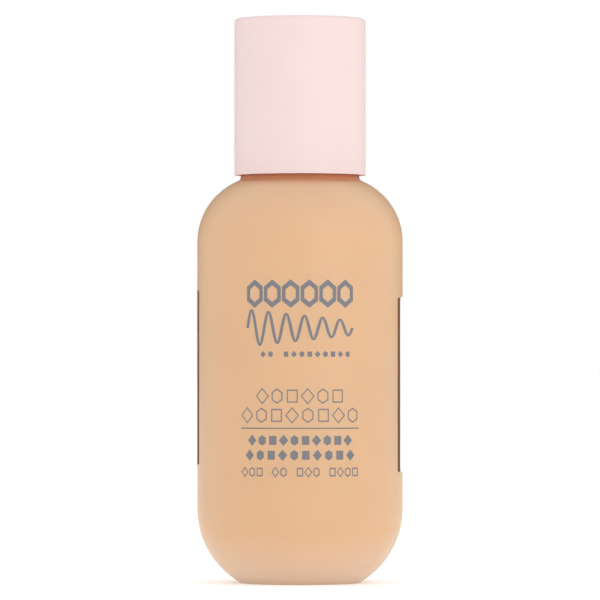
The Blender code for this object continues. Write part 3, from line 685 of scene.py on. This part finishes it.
def plastic(name, colour, roughness, clear=0.0):
    """Moulded plastic with slight flow marks."""
    finish = Finish(name, colour, Transmission_Weight=clear, Subsurface_Weight=0.2, Subsurface_Scale=0.001)
    flow = finish.noise(3.0, 3.0, (1.0, 1.0, 0.3))
    finish.colours(flow, tuple(c * 0.97 for c in colour), colour)
    finish.roughness(flow, roughness - 0.05, roughness + 0.05)
    return finish.bump(finish.noise(0.2, 2.0), 0.004, 0.3).material


def satin_metal(name, colour, roughness):
    """Turned metal, with fine brushing that runs round the axis."""
    finish = Finish(name, colour, Metallic=1.0)
    lines = finish.noise(0.5, 4.0, (0.12, 0.12, 3.0))
    finish.colours(lines, tuple(c * 0.93 for c in colour), colour)
    finish.roughness(lines, roughness - 0.06, roughness + 0.08)
    return finish.bump(lines, 0.004, 0.4).material


def foam():
    finish = Finish("gasket_foam", (0.88, 0.88, 0.86))
    cells = finish.noise(0.15, 2.0)
    finish.colours(cells, (0.8, 0.8, 0.78), (0.9, 0.9, 0.88))
    finish.roughness(cells, 0.7, 0.85)
    return finish.bump(cells, 0.05, 0.8).material


FROST = frosted_glass()
GLASS = clear_glass()
FOUNDATION = foundation()
CAP = cap_plastic()
LABEL = label_film()
INK = ink("front_ink", (0.17, 0.168, 0.185))
LABEL_INK = ink("label_ink", (0.12, 0.12, 0.13))
# dark brown for strips of painted shade, where the label keeps light out of the glass at its edges
LABEL_EDGE_SHADE = ink("label_edge_shade", (0.17, 0.06, 0.022), 0.1)
CLOSURE = plastic("closure_plastic", (0.88, 0.87, 0.85), 0.4)
PUMP = plastic("pump_plastic", (0.86, 0.86, 0.84), 0.35, 0.25)
TUBE = plastic("tube_plastic", (0.88, 0.88, 0.87), 0.25, 0.6)
SEAL = plastic("seal_plastic", (0.9, 0.9, 0.9), 0.5)
BUTTON = plastic("button_plastic", (0.89, 0.87, 0.85), 0.3)
SHROUD = satin_metal("shroud_metal", (0.68, 0.66, 0.645), 0.3)
STEEL = satin_metal("ball_steel", (0.72, 0.72, 0.73), 0.15)
WIRE = satin_metal("spring_steel", (0.62, 0.62, 0.64), 0.25)
FOAM = foam()


def settle(piece, body, slot, *nodes):
    """Rides a finished piece on its body, in place of CAD nodes."""
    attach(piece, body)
    if nodes:
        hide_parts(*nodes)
    return piece


# ---------------------------------------------------------------- bottle

def make_bottle():
    outside = outside_of_glass()
    mouth = rounded([
        (MOUTH_MIDDLE, NECK_TOP), (BORE_RADIUS, NECK_TOP, MOUTH_FILLET),
        (BORE_RADIUS, NECK_TOP - MOUTH_DEPTH),
    ])[1:]
    bottle = turned("bottle_glass", outside + mouth + inside_of_glass(), FROST)
    bottle.data.materials.append(GLASS)
    widest_hollow = (BODY_RADIUS - WALL + 0.5) * MM
    lowest_hollow = (FLOOR - 1.0) * MM
    above_land = (LAND_TOP + 0.02) * MM
    for face in bottle.data.polygons:
        middle = face.center
        inward = face.normal.x * middle.x + face.normal.y * middle.y < 0
        hollow = math.hypot(middle.x, middle.y) < widest_hollow and middle.z > lowest_hollow
        if middle.z > above_land or (hollow and (inward or middle.z < HEEL_TOP * MM)):
            face.material_index = 1
    settle(bottle, "bottle", "frosted_glass", "bottle")


def make_fill():
    """The foundation reaches a hair into the wall, which it wets; the pump stands in its wells."""
    wet = 0.03
    pump_well, housing_well, tube_well = 4.65, 2.5, 1.65
    pump_well_foot, cone_foot = 63.7, 62.0
    below = 0.2
    housing_foot = HOUSING_BOTTOM - below
    tube_foot = TUBE_BOTTOM - below
    section = inside_of_glass(-wet)[::-1] + [
        (BORE_RADIUS + wet, FILL_TOP), (pump_well, FILL_TOP), (pump_well, pump_well_foot),
        (housing_well, cone_foot), (housing_well, housing_foot), (tube_well, housing_foot),
        (tube_well, tube_foot), (0.0, tube_foot),
    ]
    settle(turned("foundation", section, FOUNDATION), "bottle", "foundation", "foundation_fill")


def make_cap():
    """Overcap with a snap bead inside its foot, and the ribs that grip the shroud."""
    inside = CAP_RADIUS - 1.14
    ceiling = CAP_TOP - 1.38
    bead = inside - 0.18
    bead_middle, bead_half, bead_flat = 73.7, 0.5, 0.2
    draft = 0.1
    foot_edge, top_edge = 0.08, 0.67
    section = rounded([
        (0.0, ceiling), (inside, ceiling, 0.5), (inside, bead_middle + bead_half),
        (bead, bead_middle + bead_flat), (bead, bead_middle - bead_flat), (inside, bead_middle - bead_half),
        (inside + draft, CAP_BOTTOM, 0.1), (CAP_RADIUS, CAP_BOTTOM, foot_edge),
        (CAP_RADIUS, CAP_TOP, top_edge), (0.0, CAP_TOP),
    ])
    settle(turned("overcap_shell", section, CAP), "overcap", "cap_plastic", "overcap")
    ribs = RIBS.make(
        "grip_ribs", Count=8, Circle=(CAP_RADIUS - 0.7) * MM, Rib=0.62 * MM, Low=75.0 * MM, High=84.0 * MM,
        Finish=CAP,
    )
    settle(ribs, "overcap", "cap_plastic")


def ridge_section(root, crest, root_half, crest_half):
    """Section of a thread ridge, out from the wall, which its root stands a little inside."""
    corners = [(root, -root_half), (crest, -crest_half), (crest, crest_half), (root, root_half)]
    return flat_points(corners, closed=True)


def make_threads():
    neck = ridge_section(root=-0.25, crest=1.1, root_half=0.85, crest_half=0.4)
    ridge = RIDGE.make(
        "neck_thread", neck, Wall=NECK_RADIUS * MM, Start=74.4 * MM, Pitch=THREAD_PITCH * MM,
        Turns=1.25, Finish=GLASS,
    )
    settle(ridge, "bottle", "frosted_glass")
    inside = ridge_section(root=0.25, crest=-1.0, root_half=0.65, crest_half=0.3)
    ridge = RIDGE.make(
        "closure_thread", inside, Wall=CLOSURE_BORE * MM, Start=73.05 * MM,
        Pitch=THREAD_PITCH * MM, Turns=0.75, Finish=CLOSURE,
    )
    settle(ridge, "closure", "closure_plastic")


# ---------------------------------------------------------------- label and print

def film(name, material, width, height, along, up, radius, out=0.0, thickness=0.02, corner=0.2, slope=0.0):
    """A wrapped film. Its columns are close enough for its corners to be round."""
    columns = max(12, math.ceil(width / (corner / 4)))
    return FILM.make(
        name, Width=width * MM, Height=height * MM, Thickness=thickness * MM, Columns=min(columns, 420),
        Corner=corner * MM, Along=along * MM, Up=up * MM, Out=out * MM, Radius=radius * MM, Slope=slope,
        Finish=material,
    )


def marks(name, material, points, sides, size, stroke=0.0, turn=0.0, radius=None, out=None, slope=0.0):
    """The same mark at each (along, up) point; a stroke draws only its outline."""
    return MARKS.make(
        name, flat_points(points), Sides=sides, Turn=math.radians(turn),
        Size=(size[0] * MM / 2, size[1] * MM / 2, 1.0), Stroke=stroke, Thickness=PRINT_THICKNESS * MM,
        Out=(PRINT_OUT if out is None else out) * MM, Radius=(radius or BODY_RADIUS) * MM, Slope=slope,
        Finish=material,
    )


def arc_of(chord):
    """Length along the body's surface of something this wide as seen from the front."""
    return 2 * BODY_RADIUS * math.asin(chord / 2 / BODY_RADIUS)


def spaced(count, chord, up):
    """Evenly spaced points along a row that is this wide from end to end of its marks."""
    length = arc_of(chord)
    pitch = length / count
    return [(pitch * (i + 0.5) - length / 2, up) for i in range(count)]


def print_word_row(name, groups, chord, up, size, stroke=0.0, shift=0.0):
    """A row of marks in groups, which take turns as diamonds, hexagons and squares."""
    slots = sum(groups) + len(groups) - 1
    places = [(along + shift, height) for along, height in spaced(slots, chord, up)]
    kept = []
    slot = 0
    for group in groups:
        kept += places[slot:slot + group]
        slot += group + 1
    shapes = [(4, 0.0, 1.08), (6, 30.0, 1.0), (4, 45.0, 1.2)]
    made = []
    for i, (sides, turn, scale) in enumerate(shapes):
        chosen = kept[i::3]
        if chosen:
            width, height = size[0] * scale, size[1] * scale
            made.append(marks(f"{name}_{i}", INK, chosen, sides, (width, height), stroke, turn))
    return made


def make_front_print():
    """One-colour generic print: heavy hexagons, a wave, rows of ornament and a rule."""
    heavy = spaced(6, chord=18.4, up=50.3)
    art = [marks("heavy_row", INK, heavy, sides=6, size=(2.75, 3.9), stroke=0.5, turn=30.0)]
    art.append(WAVE.make(
        "wave", Width=arc_of(18.0) * MM, Waves=6.0, Tall=3.2 * MM, Low=1.2 * MM, Stroke=0.42 * MM,
        Thickness=PRINT_THICKNESS * MM, Up=44.4 * MM, Out=PRINT_OUT * MM, Radius=BODY_RADIUS * MM, Finish=INK,
    ))
    art += print_word_row("small_row", [2, 9], chord=15.8, up=39.9, size=(0.9, 1.05), shift=1.0)
    art += print_word_row("thin_row_1", [6], chord=15.4, up=32.7, size=(2.0, 2.4), stroke=0.21)
    art += print_word_row("thin_row_2", [8], chord=20.4, up=29.4, size=(2.0, 2.4), stroke=0.21)
    art.append(film(
        "rule", INK, width=arc_of(20.2), height=0.2, along=0.0, up=27.17, radius=BODY_RADIUS,
        out=PRINT_OUT, thickness=PRINT_THICKNESS, corner=RULE_CORNER,
    ))
    art += print_word_row("bold_row_1", [10], chord=18.1, up=25.1, size=(1.5, 1.8))
    art += print_word_row("bold_row_2", [10], chord=19.0, up=22.55, size=(1.5, 1.8))
    art += print_word_row("light_row", [3, 2, 3, 4], chord=20.1, up=19.65, size=(1.1, 1.5), stroke=0.34)
    settle(joined("front_print", art), "bottle", "front_ink")


def make_label():
    """The film round the back, a dark strip of painted shade along each of its edges, and its generic small
    print.
    """
    inner = LABEL_RADIUS - DRAWN_FILM
    middle = inner + LABEL_FILM / 2
    length = math.radians(LABEL_END - LABEL_START) * inner
    centre = math.radians((LABEL_START + LABEL_END) / 2) * inner
    height = LABEL_HIGHEST - LABEL_BOTTOM - LABEL_SKEW
    slope = LABEL_SKEW / length
    up = (LABEL_BOTTOM + LABEL_HIGHEST) / 2 - slope * centre
    label = film(
        "label", LABEL, length, height, centre, up, middle, thickness=LABEL_FILM, corner=0.8, slope=slope)
    settle(label, "bottle", "label_film", "back_label")
    # painted shade: dark strips just outside the label's two edges, where the film shades the glass
    edges = []
    for name, along, width in (("first", centre - length / 2, 2.8), ("last", centre + length / 2, 1.9)):
        edges.append(film(
            "wet_edge_" + name, LABEL_EDGE_SHADE, width, height - 0.3, along, up, BODY_RADIUS, out=PRINT_OUT,
            thickness=PRINT_THICKNESS, corner=0.4, slope=slope,
        ))
    settle(joined("label_wet_edges", edges), "bottle", "label_film")
    outside = inner + LABEL_FILM
    lines, dashes, empty_lines = 14, 34, (2, 8)
    line_pitch, dash_pitch = 1.55, 1.42
    first_line = up + height / 2 - 4.0
    first_dash = centre - 24.0
    rows = []
    for row in range(lines):
        for column in range(dashes):
            if (row * 7 + column * 5) % 11 > 1 and row not in empty_lines:
                rows.append((first_dash + column * dash_pitch, first_line - row * line_pitch))
    words = marks(
        "label_words", LABEL_INK, rows, sides=4, size=(1.5, 0.62), turn=45.0, radius=outside,
        out=PRINT_THICKNESS, slope=slope,
    )
    sign_pitch = 4.0
    sign_up = up - height / 2 + 3.6
    places = [(centre + (i - 1.5) * sign_pitch, sign_up) for i in range(4)]
    signs = marks(
        "label_signs", LABEL_INK, places, sides=6, size=(3.0, 3.0), stroke=0.14, turn=30.0,
        radius=outside, out=PRINT_THICKNESS, slope=slope,
    )
    settle(joined("label_print", [words, signs]), "bottle", "label_film")


# ---------------------------------------------------------------- pump

def make_closure():
    """The closure's skirt and its top plate, with the hole that the pump comes through."""
    plate_bottom = CLOSURE_TOP - 1.0
    foot_edge, top_edge = 0.12, 0.3
    section = rounded([
        (CLOSURE_BORE, CLOSURE_BOTTOM, foot_edge), (CLOSURE_RADIUS, CLOSURE_BOTTOM, foot_edge),
        (CLOSURE_RADIUS, CLOSURE_TOP, top_edge), (GUIDE_HOLE, CLOSURE_TOP), (GUIDE_HOLE, plate_bottom),
        (CLOSURE_BORE, plate_bottom, 0.2),
    ])
    settle(turned("closure", section, CLOSURE), "closure", "closure_plastic", "screw_closure")


def make_shroud():
    """Thin metal shroud, with a rolled lip at the foot and at the top of its chimney."""
    inner = SHROUD_RADIUS - 0.42
    bore = CHIMNEY_RADIUS - 0.4
    shoulder = CLOSURE_TOP + 0.45
    seat = CLOSURE_TOP + 0.05
    lip = 0.15
    section = rounded([
        (inner, SHROUD_BOTTOM, lip), (SHROUD_RADIUS, SHROUD_BOTTOM, lip), (SHROUD_RADIUS, shoulder, 0.8),
        (CHIMNEY_RADIUS, shoulder, 0.2), (CHIMNEY_RADIUS, CHIMNEY_TOP, lip), (bore, CHIMNEY_TOP, lip),
        (bore, seat), (CLOSURE_RADIUS - 0.25, seat), (inner, CLOSURE_TOP - 0.35),
    ])
    settle(turned("shroud", section, SHROUD, sharp=50.0), "closure", "shroud_metal", "collar_shroud")


def make_button():
    """Dished button, its round spout with a bored outlet, and the socket that grips the stem."""
    inside = BUTTON_RADIUS - 0.9
    ceiling = BUTTON_TOP - 1.2
    boss_bore, boss_radius = 2.55, 3.4
    boss_foot, boss_head = 90.0, 93.1
    edge, hollow_fillet, foot_fillet = 0.1, 0.4, 0.2
    dish = [
        (5.0, BUTTON_TOP), (4.4, BUTTON_TOP - 0.22, 1.0), (2.2, BUTTON_TOP - 0.38, 3.0),
        (0.0, BUTTON_TOP - 0.42),
    ]
    section = rounded([
        (0.0, boss_head), (boss_bore, boss_head), (boss_bore, boss_foot, edge),
        (boss_radius, boss_foot, edge), (boss_radius, ceiling, hollow_fillet),
        (inside, ceiling, hollow_fillet),
        (inside, BUTTON_BOTTOM, foot_fillet), (BUTTON_RADIUS, BUTTON_BOTTOM, foot_fillet),
        (BUTTON_RADIUS, BUTTON_TOP, 0.8), *dish,
    ])
    body = turned("button", section, BUTTON)
    spout_root, spout_tip, outlet = 1.3, 1.05, 0.55
    spout_start, outlet_end = 5.0, 5.6
    spout_section = rounded([
        (0.0, spout_start), (spout_root, spout_start), (spout_tip, SPOUT_REACH, 0.25),
        (outlet, SPOUT_REACH, 0.12), (outlet, outlet_end), (0.0, outlet_end),
    ])
    spout = turned("spout", spout_section, BUTTON, 64)
    spout.data.transform(Matrix.Translation((0, 0, SPOUT_HEIGHT * MM)) @ Matrix.Rotation(math.pi / 2, 4, "X"))
    settle(joined("push_button", [body, spout]), "button", "button_plastic", "actuator_button")
    bore = STEM_RADIUS + 0.05
    insert_radius, duct = 2.5, 0.8
    insert = rounded([
        (bore, INSERT_BOTTOM, edge), (insert_radius, INSERT_BOTTOM, edge), (insert_radius, INSERT_TOP, edge),
        (duct, INSERT_TOP), (duct, STEM_TOP + 0.3), (bore, STEM_TOP + 0.1),
    ])
    settle(turned("stem_socket", insert, PUMP, 96), "button", "pump_plastic", "actuator_insert")


def make_retainer():
    """Ring with a skirt that snaps into the housing, a rim on its flange and a guide round the stem."""
    bore = STEM_RADIUS + 0.1
    skirt, guide = 3.55, 2.6
    rim_bottom = FLANGE_TOP + 0.05
    rim_top = FLANGE_TOP + 0.7
    edge, rim_edge = 0.1, 0.15
    section = rounded([
        (bore, GUIDE_BOTTOM, edge), (skirt, GUIDE_BOTTOM, edge), (skirt, rim_bottom),
        (RETAINER_RADIUS, rim_bottom, rim_edge), (RETAINER_RADIUS, rim_top, rim_edge), (guide, rim_top),
        (guide, GUIDE_TOP, 0.2), (bore, GUIDE_TOP, edge),
    ])
    settle(turned("retainer_ring", section, PUMP, 96), "pump", "pump_plastic", "housing_retainer")


def make_spring():
    wire = SPRING_WIRE * MM
    spring = SPRING.make(
        "coil_spring", Coil=SPRING_OUTSIDE * MM - wire, Wire=wire, Low=SPRING_BOTTOM * MM + wire,
        High=SPRING_TOP * MM - wire, Turns=SPRING_COILS, Closed=CLOSED_COILS, Finish=WIRE,
    )
    settle(spring, "pump", "spring_steel", "return_spring")
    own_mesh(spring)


def finish_plain_pieces():
    """The pieces whose drawn shape is already right only need their finish."""
    finishes = {
        "pump_housing": PUMP, "dip_tube": TUBE, "ball_retainer": PUMP, "inlet_ball": STEEL,
        "neck_gasket": FOAM, "stem": PUMP, "piston_seat": PUMP, "piston": SEAL,
    }
    for node, material in finishes.items():
        for slot in bpy.data.objects[node].material_slots:
            slot.material = material


make_bottle()
make_fill()
make_cap()
make_threads()
make_front_print()
make_label()
make_closure()
make_shroud()
make_button()
make_retainer()
make_spring()
finish_plain_pieces()

# ---------------------------------------------------------------- room, light and camera

CAMERA_DISTANCE = 0.9414     # metres, like every length of the room
CAMERA_HEIGHT = 0.0388
AIM_HEIGHT = 0.0494
LENS = 322.9
FLOOR_SIZE = 12.0
FLOOR_GLOW = 0.2
KEY_PLACE = (0.55, -0.8, 0.3)
KEY_AIM = (0.0, 0.0, 0.05)
KEY_SIZE = 0.8
KEY_POWER = 1.55
RING_OUTSIDE = (0.56, 0.68)      # share of a direction that points straight back, where the dark ring starts
RING_INSIDE = (0.995, 0.988)     # and where it ends, round the middle


def make_floor():
    builder = bmesh.new()
    bmesh.ops.create_grid(builder, x_segments=1, y_segments=1, size=FLOOR_SIZE)
    mesh = bpy.data.meshes.new("floor")
    builder.to_mesh(mesh)
    builder.free()
    floor = bpy.data.objects.new("floor", mesh)
    bpy.context.scene.collection.objects.link(floor)
    paper = Finish("floor_paper", (0.98, 0.98, 0.98), Roughness=0.8, Specular_IOR_Level=0.1)
    paper.shader.inputs["Emission Color"].default_value = (1.0, 1.0, 1.0, 1.0)
    paper.shader.inputs["Emission Strength"].default_value = FLOOR_GLOW
    mesh.materials.append(paper.material)


def make_light():
    """A white room with a dark ring behind the bottle, seen by reflections only, which draws its edges."""
    world = bpy.data.worlds.new("soft_room")
    world.use_nodes = True
    nodes, links = world.node_tree.nodes, world.node_tree.links
    sky = nodes["Background"]
    sky.inputs["Color"].default_value = (1.0, 1.0, 1.0, 1.0)
    toward = nodes.new("ShaderNodeSeparateXYZ")
    links.new(nodes.new("ShaderNodeTexCoord").outputs["Generated"], toward.inputs[0])

    def share(source, start, end):
        """How far a value has come from one end to the other, from 0 to 1."""
        node = nodes.new("ShaderNodeMapRange")
        node.inputs["From Min"].default_value = start
        node.inputs["From Max"].default_value = end
        links.new(source, node.inputs["Value"])
        return node.outputs[0]

    def product(first, second):
        node = nodes.new("ShaderNodeMath")
        node.operation = "MULTIPLY"
        links.new(first, node.inputs[0])
        links.new(second, node.inputs[1])
        return node.outputs[0]

    behind = share(toward.outputs["Y"], *RING_OUTSIDE)
    off_axis = share(toward.outputs["Y"], *RING_INSIDE)
    glossy = nodes.new("ShaderNodeLightPath").outputs["Is Glossy Ray"]
    darkness = product(product(behind, off_axis), glossy)
    links.new(share(darkness, 1.0, 0.0), sky.inputs["Strength"])
    bpy.context.scene.world = world


def make_key_panel():
    """A square soft light that faces the bottle."""
    data = bpy.data.lights.new("key_panel", "AREA")
    data.size = KEY_SIZE
    data.energy = KEY_POWER
    panel = bpy.data.objects.new("key_panel", data)
    bpy.context.scene.collection.objects.link(panel)
    panel.location = KEY_PLACE
    panel.rotation_euler = (Vector(KEY_AIM) - panel.location).to_track_quat("-Z", "Y").to_euler()


def make_camera():
    data = bpy.data.cameras.new("camera")
    data.sensor_width = 36.0     # millimetres, as is the lens
    data.lens = LENS
    data.clip_start = 0.05
    camera = bpy.data.objects.new("camera", data)
    bpy.context.scene.collection.objects.link(camera)
    camera.location = (0.0, -CAMERA_DISTANCE, CAMERA_HEIGHT)
    aim = Vector((0.0, 0.0, AIM_HEIGHT)) - camera.location
    camera.rotation_euler = aim.to_track_quat("-Z", "Y").to_euler()
    bpy.context.scene.camera = camera


make_floor()
make_light()
make_key_panel()
make_camera()
bpy.context.scene.view_settings.view_transform = "Standard"
